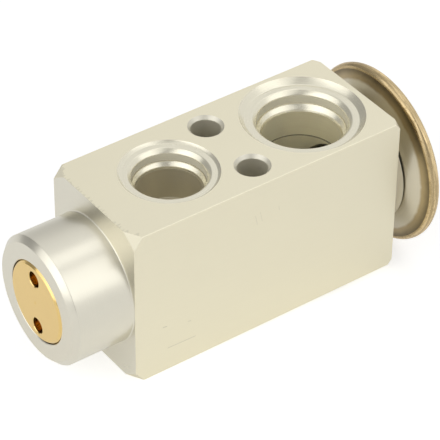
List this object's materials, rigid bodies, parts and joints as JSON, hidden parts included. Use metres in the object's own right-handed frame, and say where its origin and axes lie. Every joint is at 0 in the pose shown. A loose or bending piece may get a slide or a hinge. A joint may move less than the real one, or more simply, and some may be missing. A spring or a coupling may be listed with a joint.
{
  "type": "thermostatic expansion valve",
  "caption": "Block-type thermostatic expansion valve: aluminium block with liquid and suction passages, through bolt holes, a brass adjusting plug and a stainless power head.",
  "frame": {"origin": "middle of the bolt-hole pattern on the port face", "axes": "+Z out of the port face, +X along the block towards the power head; the valve axis lies along X, 18.5 mm below the port face"},
  "size_m": [0.0913, 0.0402, 0.0402],
  "materials": {
    "block_aluminium": "satin, turned bright at the ends and seats",
    "plug_brass": "turned bright",
    "head_steel": "pressed stainless, heat tinted near the rim",
    "weld_steel": "straw-coloured weld bead",
    "seal_rubber": "matt",
    "spring_steel": "drawn wire and strip",
    "rod_aluminium": "turned",
    "polished_steel": "ground",
    "sleeve_resin": "moulded"
  },
  "bodies": {
    "block": {"valve_body": "block_aluminium", "superheat_spring": "spring_steel", "rod_o_ring": "seal_rubber", "backup_washer": "polished_steel", "push_nut": "spring_steel", "head_gasket": "seal_rubber", "lower_cover": "head_steel", "diaphragm": "head_steel", "upper_cover": "head_steel", "rim_weld": "weld_steel", "charge_plug": "polished_steel"},
    "valve_train": {"valve_ball": "polished_steel", "ball_carrier": "polished_steel", "damper_spring": "spring_steel", "operating_rod": "polished_steel", "sensing_rod": "rod_aluminium", "insulating_sleeve": "sleeve_resin", "diaphragm_stop": "polished_steel"},
    "plug_seal": {"plug_o_ring": "seal_rubber"},
    "plug": {"adjusting_plug": "plug_brass"}
  },
  "joints": [
    {"name": "valve_stroke", "type": "slide", "parent": "block", "child": "valve_train", "axis": [-1, 0, 0], "range_m": [0, 0.00075], "stiffness_N_per_m": 2000, "springref_m": -0.003, "deforming": ["superheat_spring", "diaphragm"]},
    {"name": "plug_advance", "type": "slide", "parent": "block", "child": "plug_seal", "axis": [1, 0, 0], "range_m": [-0.0005, 0.003], "deforming": ["superheat_spring"]},
    {"name": "plug_turn", "type": "hinge", "parent": "plug_seal", "child": "plug", "pos_m": [-0.04, 0, -0.0185], "axis": [1, 0, 0], "range_deg": [-121, 721]}
  ],
  "couplings": [
    {"joint": "plug_turn", "follows": "plug_advance", "rad_per_m": 4188.8}
  ]
}
